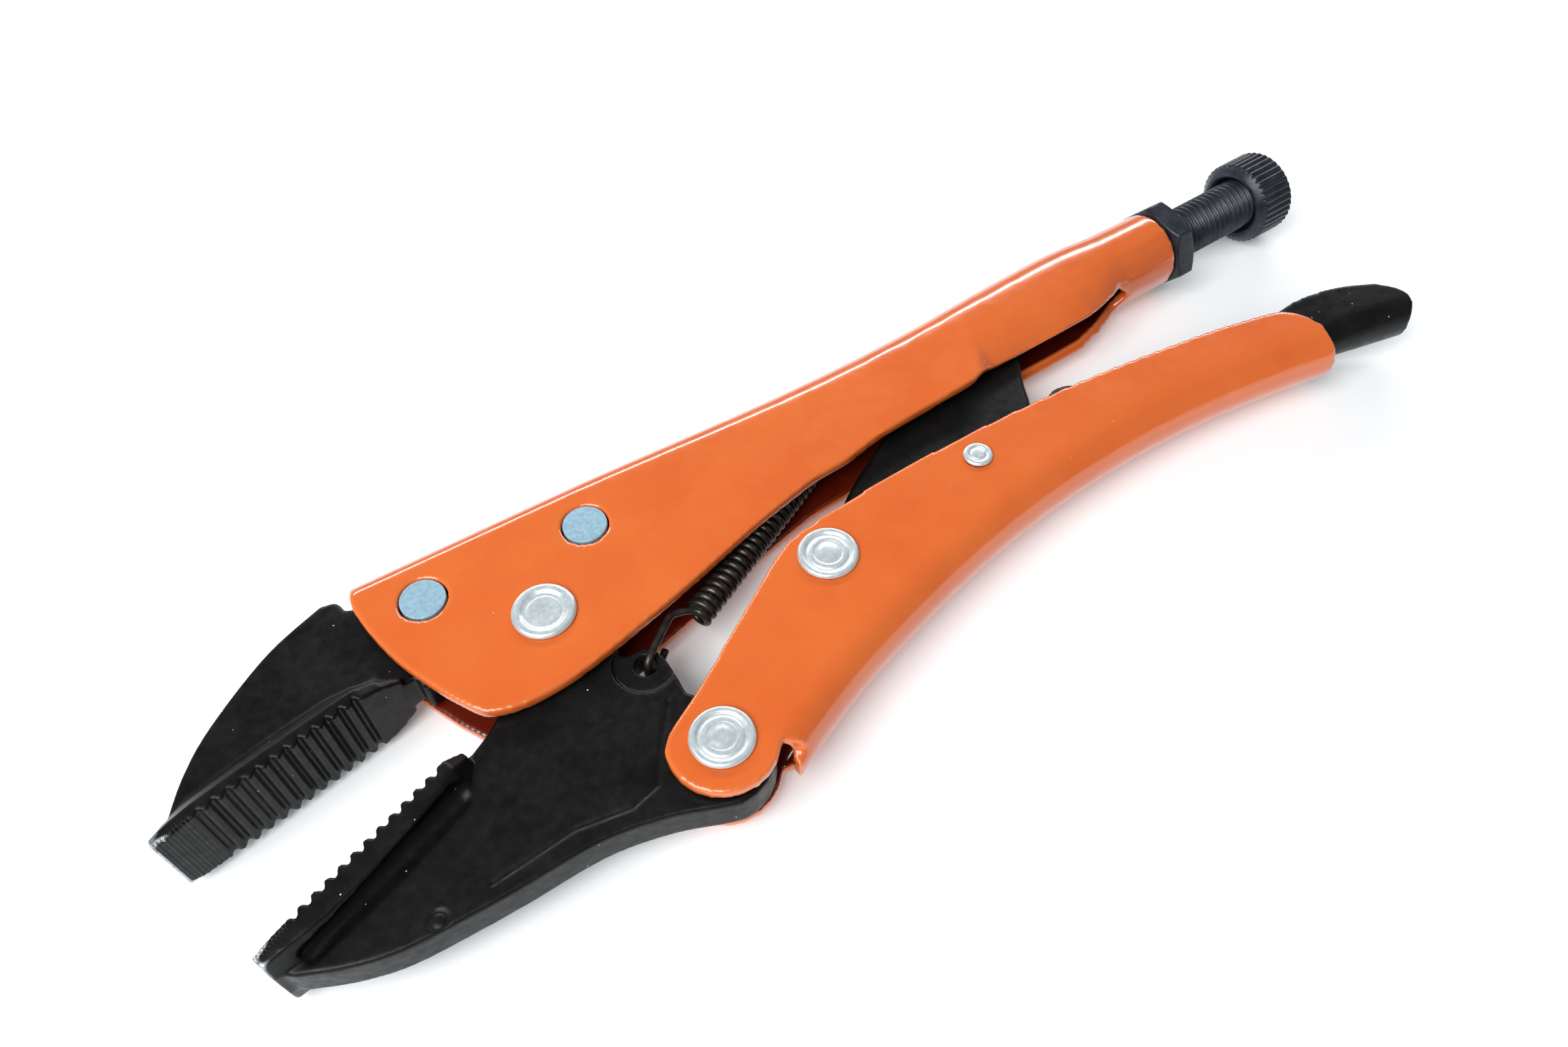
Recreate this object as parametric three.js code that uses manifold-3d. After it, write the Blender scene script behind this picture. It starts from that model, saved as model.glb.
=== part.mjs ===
// Locking pliers, 10-inch size: a fixed jaw pinned into a pressed-steel upper handle, a moving jaw,
// a lower handle, an over-centre toggle link that pushes on an adjusting screw, and a release lever.
// Millimetres. X runs back along the screw, Y towards the back of the upper handle, Z up.
// The shapes are laid out about the jaw pivot and the mid-plane; the last group moves the origin
// to the middle of the bounding box's bottom face.
import * as THREE from 'three';
import { mergeVertices } from 'three/addons/utils/BufferGeometryUtils.js';
import Module from 'manifold-3d';

// Driving dimensions
const SHEET = 2.4;                     // thickness of both pressed handles
const HALF = 6.5;                      // half the outside width of both handles
const INNER = HALF - SHEET;            // half the space between the cheeks
const GAP = 0.3;                       // clearance where two pieces touch
const THROUGH = 12;                    // half the length of a cutter that passes right through
const PLATE = INNER - 0.5;             // half the thickness of the jaws and the lever
const LINK = 2.5;                      // half the thickness of the toggle link
const TEETH_HALF = 7.9;                // half the width of the toothed faces
const JAW_PIVOT = [0, -0.4];
const HANDLE_PIVOT = [12, -37.4];
const TOGGLE_PIVOT = [46.1, -18.3];
const LEVER_PIVOT = [81.7, -16.1];
const FRONT_PIN = [-15.8, 14.05];
const REAR_PIN = [14.6, 12.1];
const PIN_R = 4;
const LEVER_SHEET = 1.7;
const RIVET_SHANK_R = 4;
const LEVER_SHANK_R = 2;
const SCREW_Y = 11.85;
const SCREW_R = 5.5;
const SCREW_TIP_X = 112;
const TUBE_R = SCREW_R + GAP + SHEET;   // outside radius of the rear tube
const BODY_END_X = 155;
const NUT_FLATS = 16.5;
const NUT_LENGTH = 5;
const KNOB_X = 181;
const KNOB_END_X = 191;
const KNOB_R = 9.1;
const KNOB_FLUTES = 36;
const KNOB_HOLLOW = 1.1;               // depth of the hollow that the screw's thread runs into
const JAW_BOSS_R = 9.5;                // moving jaw round the jaw pivot
const HANDLE_BOSS = [10.6, -37.6];     // centre of the moving jaw's boss at the handle pivot
const HANDLE_BOSS_R = 9.5;
const BOSS_CLEARING_R = 10.2;          // room for that boss inside the lower handle
const LOBE_R = 9.3;                    // handle cheeks round the handle pivot
const TOOTH_PITCH = 2.45;
const TOOTH_DEPTH = 1.35;
const TOOTH_COUNT = 12;
const FINE_PITCH = 0.95;
const FINE_DEPTH = 0.35;
const EAR_HOLE = [9.6, -17];
const EAR_HALF = 2.7;                  // half the thickness of the spring's ear on the jaw
const EAR_R = 5.6;
const EAR_HOLE_R = 2;
const ANCHOR_HOLE = [67, 5.2];
const NOTCH = [20.2, -45.9];           // relief where the lower handle's web starts
const NOTCH_R = 2.4;
const NOTCH_DEEP = 2.4;                // how near to the mid-plane the relief comes
const TAB_HALF = SHEET / 2;
const WIRE_R = 0.7;
const COIL_R = 2.8;
const COIL_START = [22, -10.4];
const COIL_END = [59.5, 2.65];
const ORIGIN = new THREE.Vector3(61.73, -10.95, -9.3817);

const paint = { color: 0xf07332, roughness: 0.28, metalness: 0.0 };
const black = { color: 0x141414, roughness: 0.42, metalness: 0.3 };
const oxide = { color: 0x20242c, roughness: 0.4, metalness: 0.6 };
const zinc = { color: 0xc9d2d4, roughness: 0.3, metalness: 0.9 };
const pinSteel = { color: 0x8fa5ad, roughness: 0.5, metalness: 0.8 };
const springSteel = { color: 0x2b2723, roughness: 0.35, metalness: 0.8 };

const wasm = await Module();
wasm.setup();
const rad = THREE.MathUtils.degToRad;

// Solids ------------------------------------------------------------------------------------------

function solid(geometry) {
  const bare = geometry.clone();
  bare.deleteAttribute('normal');
  bare.deleteAttribute('uv');
  const merged = mergeVertices(bare, 1e-4);
  const vertProperties = new Float32Array(merged.attributes.position.array);
  const triVerts = new Uint32Array(merged.index.array);
  return new wasm.Manifold(new wasm.Mesh({ numProp: 3, vertProperties, triVerts }));
}

function meshOf(name, body, look) {
  const { vertProperties, triVerts } = body.getMesh();
  const geometry = new THREE.BufferGeometry();
  geometry.setAttribute('position', new THREE.BufferAttribute(vertProperties, 3));
  geometry.setIndex(new THREE.BufferAttribute(triVerts, 1));
  geometry.computeVertexNormals();
  const mesh = new THREE.Mesh(geometry, new THREE.MeshStandardMaterial(look));
  mesh.name = name;
  return mesh;
}

// The outline as a polygon, without points that lie closer together than the bevel can follow.
function cleaned(shape) {
  const points = shape.getPoints(5);
  const kept = points.filter((p, i) => i === 0 || p.distanceTo(points[i - 1]) > 0.05);
  while (kept[0].distanceTo(kept[kept.length - 1]) < 0.05) kept.pop();
  return new THREE.Shape(kept);
}

// A flat outline in XY made solid between two heights, with bevelled rims when bevel is given.
function slab(shape, low, high, bevel = 0) {
  const geometry = new THREE.ExtrudeGeometry(cleaned(shape), {
    depth: high - low - 2 * bevel,
    bevelEnabled: bevel > 0,
    bevelThickness: bevel,
    bevelSize: bevel,
    bevelOffset: -bevel,
    bevelSegments: 1,
    curveSegments: 8,
  });
  geometry.translate(0, 0, low + bevel);
  return solid(geometry);
}

// A round bar along Z at [x, y].
function bar([x, y], radius, halfLength, segments = 24) {
  const geometry = new THREE.CylinderGeometry(radius, radius, 2 * halfLength, segments);
  geometry.rotateX(Math.PI / 2);
  geometry.translate(x, y, 0);
  return solid(geometry);
}

function box([x0, y0, z0], [x1, y1, z1]) {
  const geometry = new THREE.BoxGeometry(x1 - x0, y1 - y0, z1 - z0);
  geometry.translate((x0 + x1) / 2, (y0 + y1) / 2, (z0 + z1) / 2);
  return solid(geometry);
}

// A turned solid about Z from [radius, height] pairs that start and end on the axis.
function turned(profile, segments = 24) {
  const points = profile.map(([r, h]) => new THREE.Vector2(r, h));
  const geometry = new THREE.LatheGeometry(points, segments);
  geometry.rotateX(Math.PI / 2);
  return solid(geometry);
}

// The same, turned about the screw's axis: heights become X.
function turnedOnScrew(profile, segments = 28) {
  const points = profile.map(([r, h]) => new THREE.Vector2(r, h));
  const geometry = new THREE.LatheGeometry(points, segments);
  geometry.rotateZ(-Math.PI / 2);
  geometry.translate(0, SCREW_Y, 0);
  return solid(geometry);
}

// Wire of round section through the given points.
function wire(points, steps = 24) {
  const path = new THREE.CatmullRomCurve3(points.map(([x, y, z]) => new THREE.Vector3(x, y, z)));
  const section = new THREE.Shape();
  section.absarc(0, 0, WIRE_R, 0, 2 * Math.PI);
  return solid(new THREE.ExtrudeGeometry(section, { steps, extrudePath: path, curveSegments: 4 }));
}

// Outlines ----------------------------------------------------------------------------------------

const vectors = (points) => points.map(([x, y]) => new THREE.Vector2(x, y));

function outline(start) {
  const shape = new THREE.Shape();
  shape.moveTo(...start);
  return shape;
}

// Smooth curve through [x, value] pairs, read as value(x).
function along(pairs) {
  const slope = (i) => {
    const [x0, v0] = pairs[Math.max(i - 1, 0)];
    const [x1, v1] = pairs[Math.min(i + 1, pairs.length - 1)];
    return (v1 - v0) / (x1 - x0);
  };
  return (x) => {
    if (x <= pairs[0][0]) return pairs[0][1];
    const last = pairs.length - 1;
    if (x >= pairs[last][0]) return pairs[last][1];
    const i = pairs.findIndex(([px]) => px > x) - 1;
    const width = pairs[i + 1][0] - pairs[i][0];
    const t = (x - pairs[i][0]) / width;
    const [a, b] = [pairs[i][1], pairs[i + 1][1]];
    const [ma, mb] = [slope(i) * width, slope(i + 1) * width];
    const h = t * t * (3 - 2 * t);
    return a * (1 - h) + b * h + t * (1 - t) * (ma * (1 - t) - mb * t);
  };
}

// Lofts -------------------------------------------------------------------------------------------

// A closed skin over rings of points, each counter-clockwise seen from +X, with flat ends.
function loft(rings) {
  const count = rings[0].length;
  const index = [];
  for (let r = 0; r + 1 < rings.length; r++) {
    for (let k = 0; k < count; k++) {
      const a = r * count + k;
      const b = r * count + ((k + 1) % count);
      index.push(a, b, a + count, b, b + count, a + count);
    }
  }
  addCap(index, rings[0], 0, -1);
  addCap(index, rings[rings.length - 1], (rings.length - 1) * count, 1);
  const geometry = new THREE.BufferGeometry();
  const flat = rings.flat().flatMap((p) => [p.x, p.y, p.z]);
  geometry.setAttribute('position', new THREE.Float32BufferAttribute(flat, 3));
  geometry.setIndex(index);
  return solid(geometry);
}

// The end face of a ring, facing +X or -X.
function addCap(index, ring, offset, facing) {
  const flat = ring.map((p) => new THREE.Vector2(p.y, p.z));
  for (const [a, b, c] of THREE.ShapeUtils.triangulateShape(flat, [])) {
    const area = (flat[b].x - flat[a].x) * (flat[c].y - flat[a].y)
      - (flat[c].x - flat[a].x) * (flat[b].y - flat[a].y);
    const [second, third] = area * facing > 0 ? [b, c] : [c, b];
    index.push(a + offset, second + offset, third + offset);
  }
}

// Section of a bent sheet across X: a web, two round corners, two walls and inward-curled edges.
// side is +1 with the web at +Y and -1 with the web at -Y. corner and curlRadius are taken at the
// middle of the sheet; wallEnd is the y where the wall stops and the curl starts.
function sheetRing({ x, side, web, half, sheet, corner, wallEnd, curlRadius, curlAngle, curlSteps }) {
  const m = half - sheet / 2;
  const bend = Math.min(corner, m - 0.15);
  const middle = [];
  const cornerY = web - side * (sheet / 2 + bend);
  const curlY = side * Math.min(side * wallEnd, side * cornerY - 0.1);
  for (let k = 0; k <= 5; k++) {
    const a = rad(90 - 18 * k);
    const c = Math.cos(a);
    const s = Math.sin(a);
    middle.push([m - bend + bend * c, cornerY + side * bend * s, c, side * s]);
  }
  for (let k = 0; k <= curlSteps; k++) {
    const a = rad((curlAngle * k) / curlSteps);
    const c = Math.cos(a);
    const s = Math.sin(a);
    middle.push([m - curlRadius + curlRadius * c, curlY - side * curlRadius * s, c, -side * s]);
  }
  const path = [...middle.map(([z, y, nz, ny]) => [-z, y, -nz, ny]).reverse(), ...middle];
  const offset = (d) => path.map(([z, y, nz, ny]) => new THREE.Vector3(x, y + ny * d, z + nz * d));
  const ring = [...offset(sheet / 2), ...offset(-sheet / 2).reverse()];
  return side > 0 ? ring : ring.reverse();
}

const range = (from, to, step) => {
  const count = Math.round((to - from) / step);
  return Array.from({ length: count + 1 }, (_, i) => from + ((to - from) * i) / count);
};

// Upper handle ------------------------------------------------------------------------------------

const bodyBack = along([[-30, 25.2], [0, 23.8], [20, 22.9], [40, 21.7], [60, 20.7], [80, 20.4],
  [100, 20.3], [120, 21], [132, 21.1], [143, 20.4], [155, SCREW_Y + TUBE_R]]);
// y of the middle of the sheet's edge along the open seam
const bodyEdge = along([[-30, -16.3], [0, -16.3], [20, -12.3], [40, -7.5], [60, -2.9], [70, -1.3],
  [80, -0.9], [94, -0.9], [97, 0.2], [100, 0.9], [125, 0.9], [129, 1.7], [132, 2.5], [135, 3.6],
  [138, 4.9], [141, SCREW_Y - 7], [155, SCREW_Y - 7]]);
const bodyHalf = along([[-30, HALF], [60, HALF], [80, HALF + 0.1], [92, HALF + 0.7],
  [106, TUBE_R - 0.1], [116, TUBE_R], [155, TUBE_R]]);
const bodyCorner = along([[-30, 2.6], [20, 3], [60, 4.4], [100, 6], [130, 6.4], [144, 7]]);
const bodyCurlRadius = along([[-30, 5], [94, 5], [97, 10], [100, 16], [110, 19], [125, 20], [129, 18],
  [132, 14], [135, 10.5], [138, 7.5], [141, 7], [155, 7]]);
const bodyCurlAngle = along([[-30, 3], [94, 3], [97, 20], [100, 32], [125, 32], [129, 36], [132, 42],
  [135, 51], [138, 64], [141, 87.6], [155, 87.6]]);

function bodyLoft() {
  const xs = [...range(-30, 90, 10), ...range(94, 100, 2), 108, 117, ...range(126, 141, 3), 147,
    BODY_END_X];
  return loft(xs.map((x) => sheetRing({
    x,
    side: 1,
    web: bodyBack(x),
    half: bodyHalf(x),
    sheet: SHEET,
    corner: bodyCorner(x),
    wallEnd: bodyEdge(x) + bodyCurlRadius(x) * Math.sin(rad(bodyCurlAngle(x))),
    curlRadius: bodyCurlRadius(x),
    curlAngle: bodyCurlAngle(x),
    curlSteps: 4,
  })));
}

// What is trimmed off the blank: in front of the nose and under the lower edge.
function bodyTrim() {
  const shape = outline([-24.8, 30]);
  shape.lineTo(-25.4, 24.4);
  shape.splineThru(vectors([[-26.5, 18], [-24.6, 6], [-20.5, -5]]));
  shape.lineTo(-18.3, -9.3);
  shape.splineThru(vectors([[-16, -12.2], [-10, -14.1], [0, -14], [20, -10.2], [40, -5.4], [54, -2.8]]));
  shape.lineTo(66, -2.6);
  shape.lineTo(66, -24);
  shape.lineTo(-40, -24);
  shape.lineTo(-40, 30);
  return slab(shape, -THROUGH, THROUGH);
}

// The tongue lanced from the web that holds the spring's rear hook.
function springTab() {
  const shape = outline([62.5, 20]);
  shape.lineTo(64, 5.5);
  shape.absarc(ANCHOR_HOLE[0], ANCHOR_HOLE[1], 3, Math.PI, 2 * Math.PI);
  shape.lineTo(71.5, 20);
  return slab(shape, -TAB_HALF, TAB_HALF).subtract(bar(ANCHOR_HOLE, 1.5, 4, 16));
}

function bodyShell() {
  return bodyLoft()
    .subtract(bodyTrim())
    .add(springTab())
    .subtract(bar(JAW_PIVOT, RIVET_SHANK_R + GAP, THROUGH))
    .subtract(bar(FRONT_PIN, PIN_R + GAP, THROUGH))
    .subtract(bar(REAR_PIN, PIN_R + GAP, THROUGH));
}

// Jaws --------------------------------------------------------------------------------------------

// A toothed face runs along a line from its rear end; out is the side of the line that is jaw.
function faceLine({ rear, tip, out }) {
  const run = new THREE.Vector2(tip[0] - rear[0], tip[1] - rear[1]);
  const length = run.length();
  run.normalize();
  const normal = new THREE.Vector2(-run.y * out, run.x * out);
  const at = (s, n) => [rear[0] + run.x * s + normal.x * n, rear[1] + run.y * s + normal.y * n];
  return { at, length };
}

// The wide block behind a toothed face: full width at the face, sloping in to the jaw's plate.
// widths, shoulder and depth are read at the share of the face's length.
function faceBlock(line, widths, shoulder, depth) {
  return range(0, line.length, line.length / 12).map((s) => {
    const share = s / line.length;
    const half = Math.min(widths(share), TEETH_HALF);
    const top = depth(share);
    const section = [[0, half], [Math.min(shoulder(share), top - 0.3), half], [top, PLATE - 0.4]];
    const ring = [...section, ...section.map(([n, z]) => [n, -z]).reverse()];
    return ring.map(([n, z]) => {
      const [x, y] = line.at(s, n);
      return new THREE.Vector3(x, y, z);
    });
  });
}

// One coarse tooth as [share of the pitch, share of the depth]: a flat crest, a gullet and a ridge.
const TOOTH = [[0, 0], [0.3, 0], [0.42, 0.35], [0.62, 1], [0.85, 0.3]];

// Everything under the toothed edge, to be cut away: coarse teeth, then fine serrations to the tip.
function toothCutter(line, start) {
  const points = [];
  for (let i = 0; i < TOOTH_COUNT; i++) {
    const s = start + i * TOOTH_PITCH;
    points.push(...TOOTH.map(([share, deep]) => line.at(s + share * TOOTH_PITCH, deep * TOOTH_DEPTH)));
  }
  const fineStart = start + TOOTH_COUNT * TOOTH_PITCH;
  const fineCount = Math.floor((line.length - fineStart - 1) / FINE_PITCH);
  for (let i = 0; i < fineCount; i++) {
    const s = fineStart + i * FINE_PITCH;
    points.push(line.at(s, 0), line.at(s + 0.5 * FINE_PITCH, FINE_DEPTH));
  }
  points.push(line.at(line.length + 4, 0), line.at(line.length + 4, -6), line.at(-2, -6), line.at(-2, 0));
  return slab(new THREE.Shape(vectors(points)), -THROUGH, THROUGH);
}

const fixedFace = faceLine({ rear: [-25.1, 2.05], tip: [-67.2, -4.7], out: -1 });
const movingFace = faceLine({ rear: [-22.55, -15.5], tip: [-60.55, -28.4], out: 1 });

function orientedLoft(rings) {
  const [a, b, c] = rings[0];
  const area = (b.y - a.y) * (c.z - a.z) - (c.y - a.y) * (b.z - a.z);
  const forward = rings[rings.length - 1][0].x > rings[0][0].x;
  const stacked = forward ? rings : [...rings].reverse();
  return loft(area > 0 ? stacked : stacked.map((ring) => [...ring].reverse()));
}

function fixedJaw() {
  const plate = outline([-26, 21.2]);
  plate.lineTo(-27.6, 22);
  plate.splineThru(vectors([[-28.4, 24.4], [-31, 25.2]]));
  plate.splineThru(vectors([[-42, 21.2], [-54, 13.5], [-60.5, 7.4], [-65.2, 0.9]]));
  plate.lineTo(-67.3, -3.6);
  plate.lineTo(-66.7, -4.6);
  plate.lineTo(-27, 1.76);
  plate.splineThru(vectors([[-25, 0.4], [-23.4, -0.2]]));
  plate.lineTo(-15, 1.4);
  plate.splineThru(vectors([[-11, 3], [-8.9, 4.9]]));
  plate.absarc(JAW_PIVOT[0], JAW_PIVOT[1], JAW_BOSS_R + 0.8, rad(149), rad(31), true);
  plate.lineTo(21, 5);
  plate.lineTo(21, 19.2);
  const widths = along([[0, 5], [0.05, 5.4], [0.09, 7.2], [0.13, TEETH_HALF], [0.8, TEETH_HALF],
    [1, 7.4]]);
  const shoulder = along([[0, 1], [0.15, 2.4], [0.85, 2.4], [1, 1.6]]);
  const depth = along([[0, 1.5], [0.12, 5.2], [0.25, 7], [0.8, 7.2], [0.93, 5.4], [1, 2.2]]);
  return slab(plate, -PLATE, PLATE, 0.4)
    .add(orientedLoft(faceBlock(fixedFace, widths, shoulder, depth)))
    .subtract(toothCutter(fixedFace, 6.4))
    .subtract(bar(FRONT_PIN, PIN_R + GAP, THROUGH))
    .subtract(bar(REAR_PIN, PIN_R + GAP, THROUGH));
}

// The hollow along each side of the moving jaw, behind its toothed face: a tapered round cutter.
function jawGroove(side) {
  const [x0, y0] = movingFace.at(5, 5.4);
  const [x1, y1] = movingFace.at(35.5, 5.2);
  const from = new THREE.Vector3(x0, y0, side * (PLATE + 2));
  const to = new THREE.Vector3(x1, y1, side * (PLATE + 1.2));
  const reach = to.clone().sub(from);
  const far = reach.length();
  const profile = [[0, -2.6], [1.8, -1.9], [2.4, 0], [2.4, 0.5 * far], [1.6, far], [0, far + 1.4]];
  const geometry = new THREE.LatheGeometry(profile.map(([r, h]) => new THREE.Vector2(r, h)), 14);
  geometry.applyQuaternion(new THREE.Quaternion().setFromUnitVectors(
    new THREE.Vector3(0, 1, 0), reach.normalize()));
  geometry.translate(from.x, from.y, from.z);
  return solid(geometry);
}

// The thinned round ear that the spring hooks into, as what is cut away between two heights.
function earRecess(low, high) {
  const [x, y] = EAR_HOLE;
  const around = box([x - EAR_R, y - EAR_R, low], [x + EAR_R, y + 5, high]);
  return bar(EAR_HOLE, EAR_R, THROUGH).intersect(around);
}

function movingJaw() {
  const plate = outline([-24, -16]);
  plate.lineTo(-21.5, -15.6);
  plate.splineThru(vectors([[-17, -13.2], [-12.4, -9.4], [-9.6, -4.6]]));
  plate.absarc(JAW_PIVOT[0], JAW_PIVOT[1], JAW_BOSS_R, rad(196), rad(-14), true);
  plate.splineThru(vectors([[8.2, -8], [7.2, -13.2], [11.2, -14], [12.9, -17.6], [12.3, -25.6]]));
  plate.absarc(HANDLE_BOSS[0], HANDLE_BOSS[1], HANDLE_BOSS_R, rad(62), rad(-97), true);
  plate.splineThru(vectors([[6.3, -45.8], [-1.3, -42.5], [-11.5, -40], [-24.7, -39.5], [-33, -39],
    [-43, -38], [-50.3, -35.8], [-56.9, -32.6]]));
  plate.lineTo(-60.2, -30);
  plate.lineTo(-60.4, -28.6);
  const widths = along([[0, 5.4], [0.03, 7.6], [0.07, TEETH_HALF], [0.85, TEETH_HALF], [1, 7.4]]);
  const shoulder = along([[0, 1.2], [0.15, 3], [0.4, 4.2], [0.75, 4.1], [1, 2.6]]);
  const depth = along([[0, 2.6], [0.1, 5.6], [0.4, 6.8], [0.75, 6.4], [1, 3.2]]);
  return slab(plate, -PLATE, PLATE, 0.4)
    .add(orientedLoft(faceBlock(movingFace, widths, shoulder, depth)))
    .subtract(jawGroove(1))
    .subtract(jawGroove(-1))
    .subtract(toothCutter(movingFace, 4))
    .subtract(earRecess(EAR_HALF, THROUGH))
    .subtract(earRecess(-THROUGH, -EAR_HALF))
    .subtract(bar(EAR_HOLE, EAR_HOLE_R, THROUGH, 16))
    .subtract(bar(JAW_PIVOT, RIVET_SHANK_R + GAP, THROUGH))
    .subtract(bar(HANDLE_PIVOT, RIVET_SHANK_R + GAP, THROUGH));
}

// Lower handle ------------------------------------------------------------------------------------

const handleWeb = along([[18, -48.2], [26, -44.6], [34, -41.5], [43, -38.6], [64, -33.5], [85, -30.2],
  [106, -29.2], [127, -30.2], [148, -33.2], [164, -36.6]]);
const handleEdge = along([[18, -25.3], [28, -19.6], [36, -15], [40, -12.8], [44, -11.6], [52, -10.9],
  [66, -10.5], [84, -10.9], [108, -12.8], [132, -16.3], [148, -19.5], [164, -24.2]]);

function handleLoft() {
  const xs = [20.4, 23, ...range(26, 46, 4), ...range(53, 161, 9)];
  return loft(xs.map((x) => sheetRing({
    x,
    side: -1,
    web: handleWeb(x),
    half: HALF,
    sheet: SHEET,
    corner: HALF - SHEET / 2,
    wallEnd: handleEdge(x),
    curlRadius: 6,
    curlAngle: 1.5,
    curlSteps: 1,
  })));
}

function handleCheeks() {
  const [x, y] = HANDLE_PIVOT;
  const shape = outline([3.1, -34.4]);
  shape.splineThru(vectors([[6, -31.6], [13, -28], [21, -23.6]]));
  shape.lineTo(27, -20.2);
  shape.lineTo(31, -32);
  shape.lineTo(22.5, -37.5);
  shape.lineTo(21.4, -41.2);
  shape.lineTo(19.4, -43.2);
  shape.absarc(x, y, LOBE_R, rad(-38), rad(-198), true);
  return slab(shape, INNER, HALF).add(slab(shape, -HALF, -INNER));
}

// The rounded open end of the lower handle.
function handleEndTrim() {
  const shape = outline([152, -15]);
  shape.lineTo(152, -20.4);
  shape.splineThru(vectors([[156.4, -22], [159.4, -25.4], [160.3, -29.5]]));
  shape.lineTo(159.6, -36);
  shape.lineTo(158, -40);
  shape.lineTo(170, -40);
  shape.lineTo(170, -15);
  return slab(shape, -THROUGH, THROUGH);
}

// The round relief beside the boss, between two heights; a tongue of the web stays between.
function notch(low, high) {
  const [x, y] = NOTCH;
  return bar(NOTCH, NOTCH_R, THROUGH, 24).intersect(box([x - 9, y - 9, low], [x + 9, y + 9, high]));
}

function lowerHandle() {
  return handleLoft()
    .add(handleCheeks())
    .subtract(handleEndTrim())
    .subtract(bar(HANDLE_PIVOT, BOSS_CLEARING_R, INNER, 32))
    .subtract(notch(NOTCH_DEEP, THROUGH))
    .subtract(notch(-THROUGH, -NOTCH_DEEP))
    .subtract(bar(HANDLE_PIVOT, RIVET_SHANK_R + GAP, THROUGH))
    .subtract(bar(TOGGLE_PIVOT, RIVET_SHANK_R + GAP, THROUGH))
    .subtract(bar(LEVER_PIVOT, LEVER_SHANK_R + GAP, THROUGH, 16));
}

// Toggle link and release lever -------------------------------------------------------------------

function toggleLink() {
  const [x, y] = TOGGLE_PIVOT;
  const shape = outline([51.5, -12.2]);
  shape.splineThru(vectors([[57, -8], [64, -3.8], [78, 3], [92, 10]]));
  shape.splineThru(vectors([[100, 14.2], [105.5, 14.6], [108.6, 11.6], [109.1, 7.6], [107.7, 1]]));
  shape.splineThru(vectors([[104.4, -4.2], [101.6, -9.3], [99, -11.6]]));
  shape.lineTo(72, -11.6);
  shape.splineThru(vectors([[64, -14.6], [56, -20.4], [49.6, -24.2]]));
  shape.absarc(x, y, 6.8, rad(-60), rad(-315), true);
  return slab(shape, -LINK, LINK, 0.8).subtract(bar(TOGGLE_PIVOT, RIVET_SHANK_R + GAP, THROUGH));
}

const leverWeb = along([[76, -20.6], [90, -22], [110, -23.5], [130, -25.4], [145, -28.2], [157, -31.1],
  [163, -32.7], [175, -35.6], [184, -37.8]]);
const leverHalf = along([[76, PLATE], [160.5, PLATE], [165, 4.3], [170, 4.7], [184, 4.8]]);

function leverLoft() {
  return loft([...range(76, 157, 9), ...range(160.5, 184.5, 3)].map((x) => sheetRing({
    x,
    side: -1,
    web: leverWeb(x),
    half: leverHalf(x),
    sheet: LEVER_SHEET,
    corner: leverHalf(x) - LEVER_SHEET / 2,
    wallEnd: Math.max(-9, leverWeb(x) + 12),
    curlRadius: 4,
    curlAngle: 1.5,
    curlSteps: 1,
  })));
}

// Side view of the lever: a round nose at its rivet, the hump that lifts the link, and the tail.
function leverOutline() {
  const [x, y] = LEVER_PIVOT;
  const shape = outline([83, -13]);
  shape.splineThru(vectors([[92, -14.8], [100, -15.6], [102.4, -13.6]]));
  shape.splineThru(vectors([[104.6, -10.6], [107.3, -9.8], [110.4, -10.8], [114, -14], [124, -16.8],
    [142, -19.6]]));
  shape.splineThru(vectors([[155, -20.6], [163, -20.2], [173, -22.8], [180.5, -26.6]]));
  shape.splineThru(vectors([[183.3, -30.6], [182.8, -34.6], [178, -39]]));
  shape.lineTo(140, -39);
  shape.lineTo(82, -24);
  shape.lineTo(78.4, -18.6);
  shape.absarc(x, y, 3.4, rad(222), rad(67), true);
  return shape;
}

function releaseLever() {
  return leverLoft()
    .intersect(slab(leverOutline(), -THROUGH, THROUGH))
    .subtract(bar(LEVER_PIVOT, LEVER_SHANK_R + GAP, THROUGH, 16));
}

// Rivets and pins ---------------------------------------------------------------------------------

const HEAD_UNDER = HALF + 0.2;

// A rivet with the same head on both sides; face gives [radius, height above the cheek] from the
// head's rim to its middle.
function rivet([x, y], shankR, headR, face) {
  const upper = [[shankR, HEAD_UNDER], [headR, HEAD_UNDER], ...face.map(([r, h]) => [r, HALF + h])];
  const lower = upper.map(([r, h]) => [r, -h]).reverse();
  return turned([...lower, ...upper]).translate([x, y, 0]);
}

const dished = [[5.55, 0.6], [5.1, 0.9], [3.4, 0.85], [2.9, 0.5], [0, 0.45]];
const domed = [[5.4, 0.6], [5, 0.9], [4.1, 0.85], [3.8, 0.5], [3.3, 0.75], [0, 0.9]];
const small = [[2.75, 0.5], [2.3, 0.8], [0, 0.75]];

function pin(place) {
  return bar(place, PIN_R, HALF);
}

// Screw, nut and knob -----------------------------------------------------------------------------

const THREAD_END_X = KNOB_X + KNOB_HOLLOW - GAP;
const STUB_R = 3.6;                    // the screw's tip and its end inside the knob

function adjustingScrew() {
  return turnedOnScrew([[0, SCREW_TIP_X], [STUB_R, SCREW_TIP_X], [SCREW_R, SCREW_TIP_X + 1.6],
    [SCREW_R, THREAD_END_X], [STUB_R, THREAD_END_X], [STUB_R, KNOB_X + 5], [0, KNOB_X + 5]]);
}

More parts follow.
